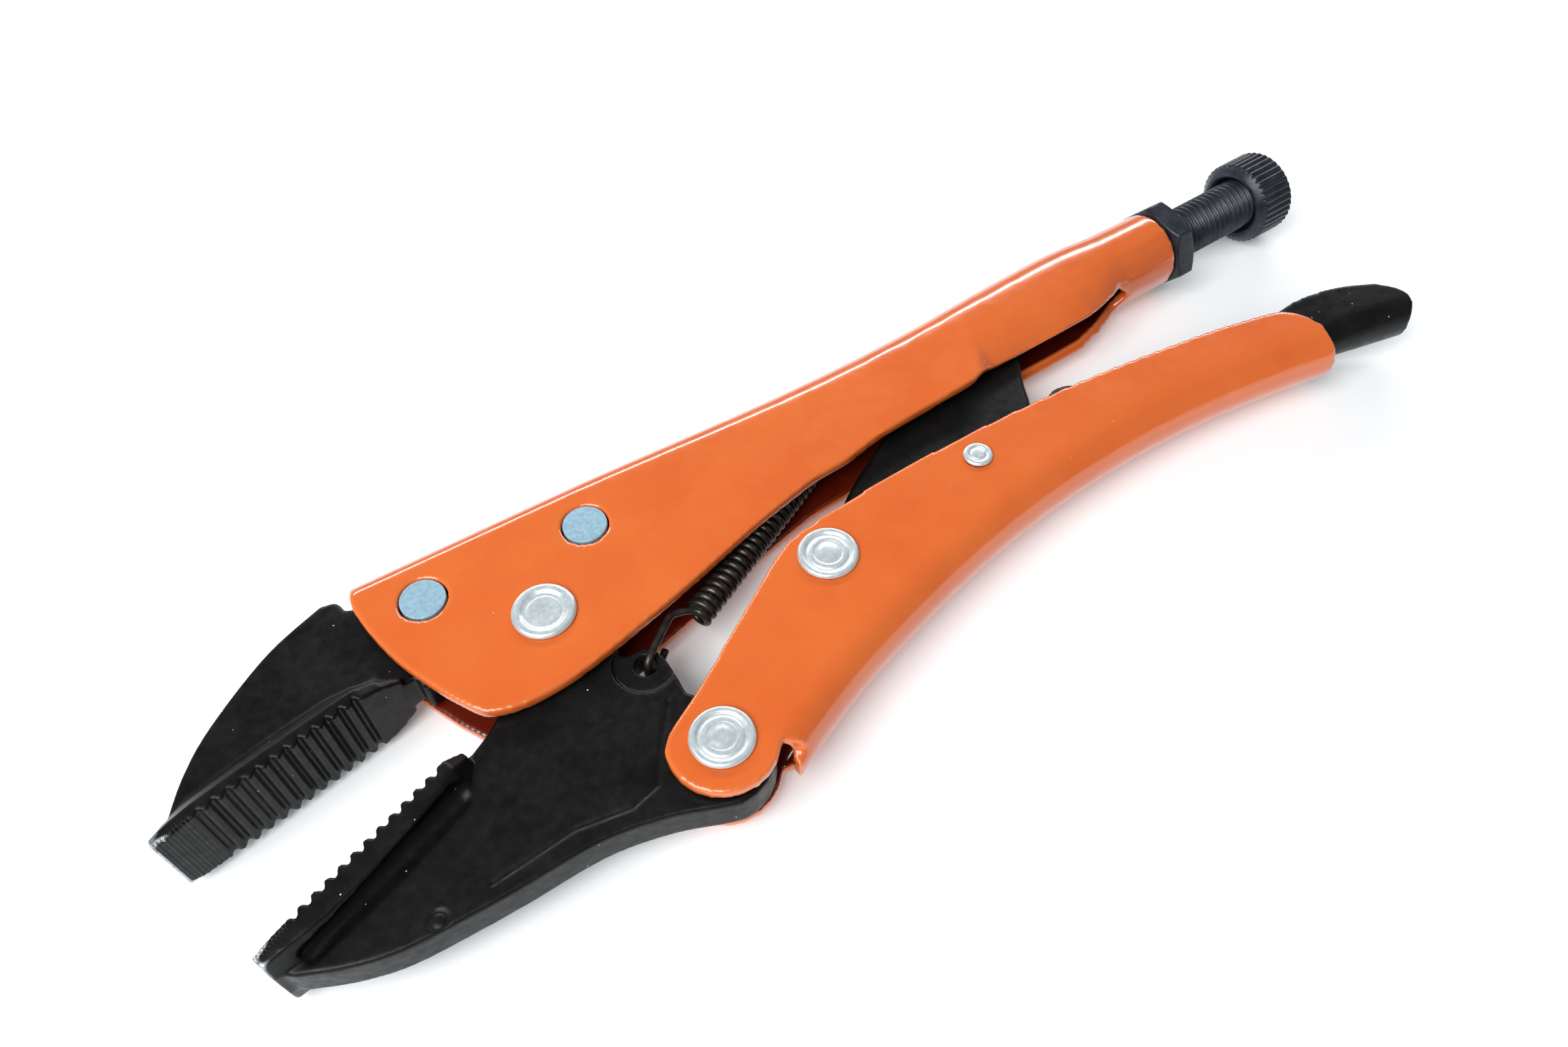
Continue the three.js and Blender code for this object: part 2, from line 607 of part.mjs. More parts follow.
function adjustingKnob() {
  const rim = new THREE.Shape(Array.from({ length: 2 * KNOB_FLUTES }, (_, i) => {
    const r = i % 2 ? KNOB_R - 0.45 : KNOB_R;
    const a = (Math.PI * i) / KNOB_FLUTES;
    return new THREE.Vector2(r * Math.cos(a), r * Math.sin(a));
  }));
  const fluted = new THREE.ExtrudeGeometry(rim, { depth: 7.9, bevelEnabled: false });
  fluted.rotateY(Math.PI / 2);
  const hollow = KNOB_X + KNOB_HOLLOW;
  fluted.translate(hollow, SCREW_Y, 0);
  const dish = KNOB_END_X - 0.5;
  const bore = STUB_R + GAP;
  const bottom = KNOB_X + 5 + GAP;
  return turnedOnScrew([[0, hollow], [5.9, hollow], [6.6, KNOB_X], [7.5, KNOB_X], [8.6, KNOB_X + 1],
    [8.6, KNOB_END_X - 0.9], [7.8, KNOB_END_X], [5.5, KNOB_END_X], [5, dish], [0, dish]])
    .add(solid(fluted))
    .subtract(turnedOnScrew([[0, KNOB_X - 1], [bore, KNOB_X - 1], [bore, bottom], [0, bottom]]));
}

function lockNut() {
  const low = BODY_END_X + GAP;
  const high = low + NUT_LENGTH;
  const corner = NUT_FLATS / Math.sqrt(3);
  const hex = new THREE.CylinderGeometry(corner, corner, NUT_LENGTH, 6);
  hex.rotateZ(-Math.PI / 2);
  hex.rotateX(rad(10));
  hex.translate((low + high) / 2, SCREW_Y, 0);
  const chamfer = turnedOnScrew([[0, low], [8.1, low], [corner + 0.2, low + 1.1],
    [corner + 0.2, high - 1.1], [8.1, high], [0, high]], 36);
  const bore = SCREW_R + GAP;
  const hole = turnedOnScrew([[0, low - 1], [bore, low - 1], [bore, high + 1], [0, high + 1]]);
  return solid(hex).intersect(chamfer).subtract(hole);
}

// Spring ------------------------------------------------------------------------------------------

function tensionSpring() {
  const [x0, y0] = COIL_START;
  const [x1, y1] = COIL_END;
  const length = Math.hypot(x1 - x0, y1 - y0);
  const coil = new THREE.CylinderGeometry(COIL_R, COIL_R, length, 14);
  coil.rotateZ(Math.atan2(y1 - y0, x1 - x0) - Math.PI / 2);
  coil.translate((x0 + x1) / 2, (y0 + y1) / 2, 0);
  const [ex, ey] = EAR_HOLE;
  const [ax, ay] = ANCHOR_HOLE;
  const front = wire([[x0 + 1.5, y0 + 1, 1.8], [18, -11.6, 3], [13.4, -14.6, 4.9], [10.6, -16.4, 4.8],
    [ex, ey, 3], [ex, ey, 0], [ex + 0.2, ey + 0.3, -4.4]]);
  const rear = wire([[x1 - 1, y1 - 0.3, 0.6], [x1 + 3, y1 + 1.3, 1.7], [ax - 0.6, ay - 0.1, 2.4],
    [ax, ay, 1], [ax, ay, -2]], 16);
  return solid(coil).add(front).add(rear);
}

// Assembly ----------------------------------------------------------------------------------------

const pliers = new THREE.Group();
pliers.add(
  meshOf('body_shell', bodyShell(), paint),
  meshOf('fixed_jaw', fixedJaw(), black),
  meshOf('front_jaw_pin', pin(FRONT_PIN), pinSteel),
  meshOf('rear_jaw_pin', pin(REAR_PIN), pinSteel),
  meshOf('jaw_pivot_rivet', rivet(JAW_PIVOT, RIVET_SHANK_R, 5.55, dished), zinc),
  meshOf('moving_jaw', movingJaw(), black),
  meshOf('handle_pivot_rivet', rivet(HANDLE_PIVOT, RIVET_SHANK_R, 5.4, domed), zinc),
  meshOf('lower_handle', lowerHandle(), paint),
  meshOf('toggle_rivet', rivet(TOGGLE_PIVOT, RIVET_SHANK_R, 5.4, domed), zinc),
  meshOf('toggle_link', toggleLink(), black),
  meshOf('release_lever', releaseLever(), black),
  meshOf('release_lever_rivet', rivet(LEVER_PIVOT, LEVER_SHANK_R, 2.75, small), zinc),
  meshOf('adjusting_screw', adjustingScrew(), oxide),
  meshOf('adjusting_knob', adjustingKnob(), oxide),
  meshOf('lock_nut', lockNut(), oxide),
  meshOf('tension_spring', tensionSpring(), springSteel),
);
pliers.position.copy(ORIGIN).negate();

const part = new THREE.Group();
part.add(pliers);

export default part;
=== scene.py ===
"""Locking pliers, 10-inch size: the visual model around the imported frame.

Every length below is in millimetres unless its name says otherwise. Places are measured from the
middle of the jaw pivot rivet: x back along the screw, y towards the back of the upper handle,
z up from the tool's mid-plane. at() turns such a place into the frame's metres.
"""
import math

import bmesh
import bpy
import numpy as np
from mathutils import Matrix, Vector


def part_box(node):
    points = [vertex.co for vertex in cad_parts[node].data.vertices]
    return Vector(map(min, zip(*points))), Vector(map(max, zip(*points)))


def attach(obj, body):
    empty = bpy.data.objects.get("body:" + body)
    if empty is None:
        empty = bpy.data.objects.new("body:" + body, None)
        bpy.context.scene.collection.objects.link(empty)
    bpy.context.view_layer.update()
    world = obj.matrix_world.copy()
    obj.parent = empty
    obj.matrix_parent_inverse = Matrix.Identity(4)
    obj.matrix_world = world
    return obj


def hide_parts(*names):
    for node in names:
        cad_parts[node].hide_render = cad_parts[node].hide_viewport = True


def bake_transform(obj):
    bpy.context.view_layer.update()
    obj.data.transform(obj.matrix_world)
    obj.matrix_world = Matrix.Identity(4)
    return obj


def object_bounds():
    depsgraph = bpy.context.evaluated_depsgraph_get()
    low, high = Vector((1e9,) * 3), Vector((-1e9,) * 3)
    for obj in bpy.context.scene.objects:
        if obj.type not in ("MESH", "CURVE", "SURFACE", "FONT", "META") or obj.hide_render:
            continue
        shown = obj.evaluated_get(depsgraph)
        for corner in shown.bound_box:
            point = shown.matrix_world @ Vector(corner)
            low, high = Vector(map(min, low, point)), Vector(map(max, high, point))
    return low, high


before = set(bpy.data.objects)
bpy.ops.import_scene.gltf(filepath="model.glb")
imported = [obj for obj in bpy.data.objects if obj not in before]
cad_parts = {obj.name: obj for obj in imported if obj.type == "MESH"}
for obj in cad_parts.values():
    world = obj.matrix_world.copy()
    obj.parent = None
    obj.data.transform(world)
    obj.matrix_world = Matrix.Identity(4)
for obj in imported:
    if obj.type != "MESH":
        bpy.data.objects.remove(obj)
cad_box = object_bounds()

MM = 0.001
TURN = 2 * math.pi


# Places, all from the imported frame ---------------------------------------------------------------

def middle(node):
    low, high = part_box(node)
    return (low + high) / 2


def size(node):
    low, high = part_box(node)
    return (high - low) / MM


HOME = middle("jaw_pivot_rivet")
HALF = size("front_jaw_pin").z / 2     # from the mid-plane to a cheek's outer face


def at(x, y, z=0.0):
    return HOME + Vector((x, y, z)) * MM


def place_of(node):
    return (middle(node) - HOME) / MM


SCREW_Y = place_of("adjusting_screw").y
SCREW_R = size("adjusting_screw").z / 2
HEAD_GAP = 0.2                         # between a rivet's head and the cheek under it

# Details that only the looks need
THREAD_PITCH = 1.5
THREAD_DEPTH = 0.85
SERRATION_PITCH = 0.62
TUBE_FROM = 96                         # behind this x the upper handle is rolled into a tube
NOTCH_LIP = (22.4, -47.4)              # the corner beside the notch in the lower handle's back
HANDLE_VOXEL = 0.51
JAW_VOXEL = 0.3
PRESSING_VOXEL = 0.36

# The knob and the end of the screw in it
FLUTES = 38
FLUTE_DEPTH = 0.55
SPIGOT_R = 3.6
SPIGOT_CLEARANCE = 0.3
KNOB_BORE = 5.3
HOLLOW = 2.4                           # depth of the hollow that the thread runs into
NUT_FLATS = 16.5
NUT_TILT = math.radians(10)

# The spring: its wire, its close turns and its two hooks, each a list of places along the wire
WIRE_R = 0.7
SPRING_PITCH = 1.62
COIL_START = (22.4, -11.8, 0.0)
COIL_END = (59.5, 4.6, 0.0)
COIL_R = 2.8
FRONT_HOOK = [
    (15.2, -12.5, -3.5), (12.0, -15.0, -3.6), (10.0, -16.6, -2.8), (9.7, -16.9, 0.0),
    (9.9, -16.8, 2.6), (11.0, -16.0, 3.55), (13.8, -13.9, 3.6), (16.8, -11.8, 3.6),
    (18.3, -11.1, 3.5), (20.6, -11.3, 2.8),
]
REAR_HOOK = [(61.0, 5.1, 2.2), (63.0, 5.5, 2.2), (66.0, 5.6, 2.4), (67.2, 5.6, 1.0), (67.0, 5.6, -2.0)]


# Meshes ------------------------------------------------------------------------------------------

def piece_from(name, points, faces):
    """A smooth-shaded object from points in metres, its faces turned outwards."""
    mesh = bpy.data.meshes.new(name)
    mesh.from_pydata([tuple(p) for p in points], [], faces)
    shell = bmesh.new()
    shell.from_mesh(mesh)
    bmesh.ops.recalc_face_normals(shell, faces=shell.faces)
    shell.to_mesh(mesh)
    shell.free()
    return shown(name, mesh)


def shown(name, mesh):
    """A smooth-shaded object in the scene."""
    mesh.polygons.foreach_set("use_smooth", [True] * len(mesh.polygons))
    piece = bpy.data.objects.new(name, mesh)
    bpy.context.scene.collection.objects.link(piece)
    return piece


def over_rings(name, rings):
    """A closed skin over rings of points in millimetres, each end closed by a fan."""
    rings = np.asarray(rings, float)
    count, sides = rings.shape[:2]
    ends = [rings[0].mean(0), rings[-1].mean(0)]
    points = np.concatenate([rings.reshape(-1, 3), ends]) * MM + np.array(HOME)
    faces = []
    for r in range(count - 1):
        for k in range(sides):
            near, far = r * sides + k, r * sides + (k + 1) % sides
            faces.append((near, far, far + sides, near + sides))
    first, last = count * sides, count * sides + 1
    base = (count - 1) * sides
    for k in range(sides):
        faces.append((first, (k + 1) % sides, k))
        faces.append((last, base + k, base + (k + 1) % sides))
    return piece_from(name, points, faces)


def ring_mesh(name, rings):
    """A closed ring-shaped skin: the last ring joins the first."""
    rings = np.asarray(rings, float)
    count, sides = rings.shape[:2]
    faces = []
    for r in range(count):
        here, there = r * sides, (r + 1) % count * sides
        for k in range(sides):
            faces.append((here + k, here + (k + 1) % sides, there + (k + 1) % sides, there + k))
    return piece_from(name, rings.reshape(-1, 3) * MM + np.array(HOME), faces)


def softened(profile):
    """Cuts the corners of a profile twice over, which leaves them round; its ends stay."""
    points = np.asarray(profile, float)
    for _ in range(2):
        before, after = points[:-1], points[1:]
        cut = np.stack([0.78 * before + 0.22 * after, 0.22 * before + 0.78 * after], 1)
        points = np.concatenate([points[:1], cut.reshape(-1, 2), points[-1:]])
    return points


def turned(name, centre, profile, axis="z", sides=96, radius=None):
    """A turned piece from (radius, height) pairs; radius(r, height, angle) may shape it further."""
    angles = np.linspace(0, TURN, sides, endpoint=False)
    rings = []
    for r, height in profile:
        reach = np.full(sides, max(r, 0.01)) if radius is None else radius(r, height, angles)
        across, up = reach * np.cos(angles), reach * np.sin(angles)
        along = np.full(sides, height)
        ring = [across, up, along] if axis == "z" else [along, across, up]
        rings.append(np.stack(ring, 1) + np.array(centre))
    return over_rings(name, rings)


def tube(name, path, radius, sides=12):
    """Round wire along a path of points, carried without twist."""
    path = np.asarray(path, float)
    ahead = np.gradient(path, axis=0)
    ahead /= np.linalg.norm(ahead, axis=1)[:, None]
    side = np.cross(ahead[0], (0.0, 0.0, 1.0))
    angles = np.linspace(0, TURN, sides, endpoint=False)
    rings = []
    for point, run in zip(path, ahead):
        side = side - run * (side @ run)
        side /= np.linalg.norm(side)
        third = np.cross(run, side)
        round_it = np.outer(np.cos(angles), side) + np.outer(np.sin(angles), third)
        rings.append(point + radius * round_it)
    return over_rings(name, rings)


def smooth_path(points, steps):
    """A Catmull-Rom curve through the points, steps to each stretch."""
    points = np.asarray(points, float)
    padded = np.concatenate([[2 * points[0] - points[1]], points, [2 * points[-1] - points[-2]]])
    t = np.linspace(0, 1, steps, endpoint=False)[:, None]
    curve = []
    for a, b, c, d in zip(padded, padded[1:], padded[2:], padded[3:]):
        curve.append(0.5 * (2 * b + (c - a) * t + (2 * a - 5 * b + 4 * c - d) * t**2
                            + (3 * b - a - 3 * c + d) * t**3))
    return np.concatenate(curve + [points[-1:]])


# Skins: a CAD solid made fine enough for smooth pressed and forged surfaces ----------------------

def remeshed(name, node, voxel):
    """A copy of a CAD node's mesh, welded and divided into even faces about voxel across."""
    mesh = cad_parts[node].data.copy()
    weld = bmesh.new()
    weld.from_mesh(mesh)
    bmesh.ops.remove_doubles(weld, verts=weld.verts, dist=1e-6)
    weld.to_mesh(mesh)
    weld.free()
    mesh.materials.clear()
    blank = bpy.data.objects.new(name, mesh)
    bpy.context.scene.collection.objects.link(blank)
    remesh = blank.modifiers.new("remesh", "REMESH")
    remesh.mode = "VOXEL"
    remesh.voxel_size = voxel * MM
    fine = blank.evaluated_get(bpy.context.evaluated_depsgraph_get())
    even = bpy.data.meshes.new_from_object(fine)
    bpy.data.objects.remove(blank)
    return even


def store_values(mesh, name, values):
    """Keeps one number for each vertex, for a material to read."""
    stored = mesh.attributes.new(name, "FLOAT", "POINT")
    stored.data.foreach_set("value", values)


class Skin:
    """The vertices of a remeshed CAD node as arrays, in millimetres from HOME."""

    def __init__(self, name, node, voxel):
        self.mesh = remeshed(name, node, voxel)
        self.name = name
        self.node = node
        count = len(self.mesh.vertices)
        flat = np.empty(count * 3)
        self.mesh.vertices.foreach_get("co", flat)
        self.points = (flat.reshape(-1, 3) - np.array(HOME)) / MM
        edges = np.empty(len(self.mesh.edges) * 2, int)
        self.mesh.edges.foreach_get("vertices", edges)
        self.ends = edges.reshape(-1, 2)
        self.degree = np.bincount(self.ends.ravel(), minlength=count)[:, None]

    def around(self, values):
        """Each vertex's mean over its neighbours."""
        a, b = self.ends.T
        total = np.stack([
            np.bincount(a, column[b], len(values)) + np.bincount(b, column[a], len(values))
            for column in values.T
        ], 1)
        return total / self.degree

    def normals(self):
        self.store()
        flat = np.empty(len(self.points) * 3)
        self.mesh.vertices.foreach_get("normal", flat)
        return flat.reshape(-1, 3)

    def store(self):
        self.mesh.vertices.foreach_set("co", (self.points * MM + np.array(HOME)).ravel())
        self.mesh.update()

    def relax(self, rounds, hold):
        """Evens out the facets without shrinking; hold is 0 where the surface may move, 1 at edges."""
        free = 1 - hold[:, None]
        for _ in range(rounds):
            for step in (0.6, -0.62):
                self.points += step * free * (self.around(self.points) - self.points)

    def blunt(self, rounds):
        """Rounds the edges off; unlike relax, it shrinks them."""
        for _ in range(rounds):
            self.points += 0.5 * (self.around(self.points) - self.points)

    def soften_near(self, place, reach, rounds):
        """Blunts the surface only about a place in plan."""
        near = hump(np.linalg.norm(self.points[:, :2] - np.array(place), axis=1), reach)[:, None]
        for _ in range(rounds):
            self.points += 0.5 * near * (self.around(self.points) - self.points)

    def edges_held(self):
        """1 at sharp edges and next to them, 0 on even surfaces, where the mean normal stays long."""
        mean_normal = self.normals()
        for _ in range(3):
            mean_normal = self.around(mean_normal)
        even, sharp = 0.975, 0.93
        hold = np.clip((even - np.linalg.norm(mean_normal, axis=1)) / (even - sharp), 0, 1)
        return self.around(hold[:, None])[:, 0]

    def raise_by(self, heights, normals):
        self.points += heights[:, None] * normals

    def finish(self):
        """The object, with how sharply each point bulges stored as the attribute edge."""
        normals = self.normals()
        bulge = ((self.points - self.around(self.points)) * normals).sum(1)
        for _ in range(2):
            bulge = self.around(bulge[:, None])[:, 0]
        sharpest = np.percentile(bulge, 99.5)
        store_values(self.mesh, "edge", np.clip(bulge / sharpest, 0, 1))
        self.kept_inside()
        self.store()
        return shown(self.name, self.mesh)

    def kept_inside(self):
        """Holds the skin within the CAD node's box."""
        low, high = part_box(self.node)
        lowest = (np.array(low) - np.array(HOME)) / MM
        highest = (np.array(high) - np.array(HOME)) / MM
        self.points = np.clip(self.points, lowest, highest)


def off_line(points, line):
    """Each point's distance in plan from a line through the given places."""
    flat = points[:, :2]
    nearest = np.full(len(flat), 1e9)
    for a, b in zip(line, line[1:]):
        a, run = np.array(a), np.array(b) - np.array(a)
        t = np.clip((flat - a) @ run / (run @ run), 0, 1)
        nearest = np.minimum(nearest, np.linalg.norm(flat - a - t[:, None] * run, axis=1))
    return nearest


def hump(distance, width):
    """1 at no distance, falling smoothly to nothing past about twice the width."""
    return np.exp(-((distance / width) ** 2))


# Materials ---------------------------------------------------------------------------------------

class Look:
    """A Principled material and the node-making calls that its detail is built with."""

    def __init__(self, name, colour, roughness, metallic=0.0, **sockets):
        self.material = bpy.data.materials.new(name)
        self.material.use_nodes = True
        self.tree = self.material.node_tree
        self.shader = self.tree.nodes["Principled BSDF"]
        self.shader.inputs["Base Color"].default_value = (*colour, 1)
        self.shader.inputs["Roughness"].default_value = roughness
        self.shader.inputs["Metallic"].default_value = metallic
        for socket, value in sockets.items():
            self.shader.inputs[socket.replace("_", " ")].default_value = value
        self.place = self.node("ShaderNodeTexCoord").outputs["Object"]

    def node(self, kind, **values):
        made = self.tree.nodes.new(kind)
        for name, value in values.items():
            setattr(made, name, value)
        return made

    def link(self, source, target):
        self.tree.links.new(source, target)

    def noise(self, grain, detail=3.0, stretch=(1, 1, 1)):
        """Noise with patches about grain millimetres across, centred on 0.5."""
        made = self.node("ShaderNodeTexNoise")
        made.inputs["Scale"].default_value = 1 / (grain * MM)
        made.inputs["Detail"].default_value = detail
        made.inputs["Roughness"].default_value = 0.55
        self.link(self.stretched(stretch), made.inputs["Vector"])
        return made.outputs["Fac"]

    def stretched(self, stretch):
        if stretch == (1, 1, 1):
            return self.place
        made = self.node("ShaderNodeMapping")
        made.inputs["Scale"].default_value = stretch
        self.link(self.place, made.inputs["Vector"])
        return made.outputs["Vector"]

    def math(self, operation, first, second=None):
        made = self.node("ShaderNodeMath", operation=operation)
        for socket, value in zip(made.inputs, (first, second)):
            if value is None:
                continue
            if isinstance(value, (int, float)):
                socket.default_value = value
            else:
                self.link(value, socket)
        return made.outputs["Value"]

    def between(self, value, low, high, to_low=0.0, to_high=1.0):
        """value carried from low..high to to_low..to_high, held at the ends."""
        made = self.node("ShaderNodeMapRange")
        for socket, number in zip(list(made.inputs)[1:5], (low, high, to_low, to_high)):
            socket.default_value = number
        self.link(value, made.inputs["Value"])
        return made.outputs["Result"]

    def specks(self, spacing, radius, share, stretch=(1, 1, 1)):
        """1 inside small specks, about spacing apart, of which only a share is there."""
        made = self.node("ShaderNodeTexVoronoi")
        made.inputs["Scale"].default_value = 1 / (spacing * MM)
        self.link(self.stretched(stretch), made.inputs["Vector"])
        near = self.between(made.outputs["Distance"], radius / spacing, 0.5 * radius / spacing)
        split = self.node("ShaderNodeSeparateColor")
        self.link(made.outputs["Color"], split.inputs["Color"])
        chosen = self.math("GREATER_THAN", split.outputs["Red"], 1 - share)
        return self.math("MULTIPLY", near, chosen)

    def stored(self, name):
        """The values that store_values() kept under a name."""
        return self.node("ShaderNodeAttribute", attribute_name=name).outputs["Fac"]

    def patches(self, grain, first, second, low=0.35, high=0.7):
        """Two colours in soft patches about grain millimetres across."""
        return self.mixed(self.between(self.noise(grain), low, high), first, second)

    def mixed(self, factor, first, second):
        """Colours first and second mixed; each is a socket or a plain colour."""
        made = self.node("ShaderNodeMix", data_type="RGBA")
        self.link(factor, made.inputs["Factor"])
        for name, value in (("A", first), ("B", second)):
            socket = [s for s in made.inputs if s.name == name and s.type == "RGBA"][0]
            if isinstance(value, tuple):
                socket.default_value = (*value, 1)
            else:
                self.link(value, socket)
        return [s for s in made.outputs if s.type == "RGBA"][0]

    def colour(self, socket):
        self.link(socket, self.shader.inputs["Base Color"])

    def roughness(self, grain, low, high):
        """Roughness that wanders between low and high."""
        wandering = self.between(self.noise(grain), 0.3, 0.7, low, high)
        self.link(wandering, self.shader.inputs["Roughness"])

    def bump(self, height, depth):
        """Relief depth millimetres high from a 0..1 height."""
        made = self.node("ShaderNodeBump")
        made.inputs["Distance"].default_value = depth * MM
        made.inputs["Strength"].default_value = 1.0
        self.link(height, made.inputs["Height"])
        previous = self.shader.inputs["Normal"]
        if previous.is_linked:
            self.link(previous.links[0].from_socket, made.inputs["Normal"])
        self.link(made.outputs["Normal"], previous)


ORANGE = (0.72, 0.145, 0.022)
ORANGE_DEEP = (0.68, 0.122, 0.016)
ORANGE_PALE = (0.80, 0.21, 0.05)
# ORANGE_SHADED is painted shade: the dark of the cheeks' and the tube's inner faces, put into the
# paint's colour
ORANGE_SHADED = (0.12, 0.010, 0.003)
CHIP = (0.035, 0.022, 0.018)
DUST = (0.72, 0.70, 0.66)
BLACK = (0.0035, 0.0033, 0.0032)
BLACK_PALE = (0.008, 0.008, 0.008)
BARE = (0.55, 0.57, 0.58)


def orange_paint():
    """Gloss enamel: paler where it is thin on edges, dusty, chipped here and there, with painted shade
    on its inner faces.
    """
    look = Look("orange_paint", ORANGE, 0.24, Coat_Weight=0.7, Coat_Roughness=0.05)
    enamel = look.patches(16, ORANGE_DEEP, ORANGE, 0.35, 0.65)
    thin = look.mixed(look.between(look.stored("edge"), 0.35, 1.0, 0.0, 0.45), enamel, ORANGE_PALE)
    dusty = look.mixed(look.specks(3.1, 0.12, 0.22), thin, DUST)
    edges = look.between(look.stored("edge"), 0.25, 0.5)
    chips = look.math("MULTIPLY", edges, look.specks(5.5, 1.1, 0.12))
    outside = look.mixed(chips, dusty, CHIP)
    # Painted shade: faces that look inwards are mixed towards ORANGE_SHADED
    look.colour(look.mixed(look.stored("inside"), outside, ORANGE_SHADED))
    look.roughness(2.2, 0.16, 0.27)
    look.bump(look.noise(5.0, detail=1.0), 0.07)
    look.bump(look.noise(0.9, detail=2.0), 0.006)
    return look.material


def dusty_black(name):
    """The black enamel that both black paints share, and its colour with the dust on it."""
    look = Look(name, BLACK, 0.38, Specular_IOR_Level=0.2)
    enamel = look.patches(9, BLACK, BLACK_PALE, 0.4, 0.7)
    dusty = look.mixed(look.specks(2.3, 0.16, 0.3), enamel, DUST)
    look.roughness(1.8, 0.27, 0.46)
    look.bump(look.noise(3.2, detail=2.0), 0.08)
    look.bump(look.noise(0.55, detail=3.0), 0.018)
    return look, dusty


def black_paint():
    look, dusty = dusty_black("black_paint")
    lint = look.specks(4.5, 0.2, 0.25, stretch=(1.0, 0.25, 1.0))
    look.colour(look.mixed(lint, dusty, DUST))
    return look.material


def jaw_paint():
    """Black paint rubbed off the jaws' sharp corners, with fine serrations near their tips."""
    look, dusty = dusty_black("black_paint_worn")
    rubbed = look.between(look.math("MULTIPLY", look.stored("edge"), look.stored("tip")), 0.15, 0.4)
    broken = look.math("MULTIPLY", rubbed, look.between(look.noise(0.9), 0.35, 0.5, 0.35, 1.0))
    look.colour(look.mixed(broken, dusty, BARE))
    look.link(broken, look.shader.inputs["Metallic"])
    wave = look.math("SINE", look.math("MULTIPLY", look.stored("along"), TURN / SERRATION_PITCH))
    look.bump(look.math("MULTIPLY", wave, look.stored("fine")), 0.07)
    return look.material


def black_oxide():
    look = Look("black_oxide", (0.02, 0.024, 0.032), 0.38, metallic=0.35)
    look.colour(look.patches(3, (0.014, 0.017, 0.024), (0.035, 0.042, 0.055)))
    look.roughness(1.2, 0.28, 0.46)
    look.bump(look.noise(0.4), 0.012)
    return look.material


def zinc_plate():
    look = Look("zinc_plate", (0.72, 0.80, 0.81), 0.34, metallic=0.6)
    look.colour(look.patches(1.6, (0.68, 0.77, 0.78), (0.80, 0.86, 0.87)))
    look.roughness(0.8, 0.28, 0.40)
    look.bump(look.noise(2.4, detail=1.0), 0.012)
    look.bump(look.noise(0.3, detail=1.0), 0.0006)
    return look.material


def pin_steel():
    look = Look("pin_steel", (0.30, 0.46, 0.56), 0.5, metallic=0.2)
    look.colour(look.patches(0.7, (0.24, 0.40, 0.50), (0.34, 0.52, 0.62)))
    look.roughness(0.5, 0.4, 0.6)
    look.bump(look.noise(0.3, detail=4.0), 0.03)
    return look.material


def spring_steel():
    look = Look("spring_steel", (0.05, 0.042, 0.035), 0.3, metallic=0.8)
    look.colour(look.patches(2, (0.035, 0.028, 0.022), (0.10, 0.088, 0.075)))
    look.roughness(0.6, 0.24, 0.42)
    look.bump(look.noise(0.35, stretch=(0.3, 1, 1)), 0.01)
    return look.material


def floor_paper():
    look = Look("floor_paper", (0.9, 0.91, 0.92), 0.75)
    look.shader.inputs["Emission Color"].default_value = (0.9, 1.0, 1.0, 1)
    look.shader.inputs["Emission Strength"].default_value = 0.14
    look.bump(look.noise(1.5), 0.02)
    return look.material


# Pieces ------------------------------------------------------------------------------------------

def fitted(piece, body, node, material):
    """Puts a piece on its body in place of its CAD node."""
    piece.data.materials.clear()
    piece.data.materials.append(material)
    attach(piece, body)
    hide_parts(node)
    return piece


def facing_inwards(skin, tube_from):
    """How squarely each point faces the other cheek or, in the tube, the screw's axis."""
    normals = skin.normals()
    x, y, z = skin.points.T
    to_cheek = -np.sign(z) * normals[:, 2]
    across = y - SCREW_Y
    to_axis = -(across * normals[:, 1] + z * normals[:, 2]) / np.hypot(across, z)
    return np.where(x > tube_from, to_axis, to_cheek)


def handle(name, node, body, material, tube_from=math.inf):
    """A pressed handle with painted shade on its inner faces; behind tube_from it is rolled into a
    tube round the screw.
    """
    skin = Skin(name, node, HANDLE_VOXEL)
    skin.relax(30, skin.edges_held())
    skin.blunt(3)
    skin.soften_near(NOTCH_LIP, 2.4, 16)
    inwards = facing_inwards(skin, tube_from)
    piece = skin.finish()
    # inside marks the inner faces that get painted shade
    store_values(piece.data, "inside", np.clip((inwards - 0.25) / 0.4, 0, 1))
    fitted(piece, body, node, material)


# Each toothed face in plan: its rear end, its tip, and how far along the fine serrations start.
TOOTHED = {
    "fixed_jaw": ((-25.1, 2.45), (-67.2, -4.3), 35.8),
    "moving_jaw": ((-22.55, -15.1), (-60.55, -28.0), 33.4),
}


def jaw(name, node, body, material, detail):
    """A forged jaw; detail(skin) adds what only this jaw has."""
    skin = Skin(name, node, JAW_VOXEL)
    skin.relax(8, skin.edges_held())
    skin.blunt(2)
    detail(skin)
    piece = skin.finish()
    rear, tip, fine_from = (np.array(value) for value in TOOTHED[node])
    run = tip - rear
    run /= np.linalg.norm(run)
    plan = skin.points[:, :2]
    along = (plan - rear) @ run
    aside = np.abs((plan - rear) @ np.array((-run[1], run[0])))
    from_tip = np.linalg.norm(plan - tip, axis=1)
    store_values(piece.data, "tip", np.clip(1.5 - from_tip / 2.4, 0, 1))
    store_values(piece.data, "along", along)
    store_values(piece.data, "fine", np.clip(along - fine_from, 0, 1) * np.clip(2 - aside / 0.7, 0, 1))
    fitted(piece, body, node, material)


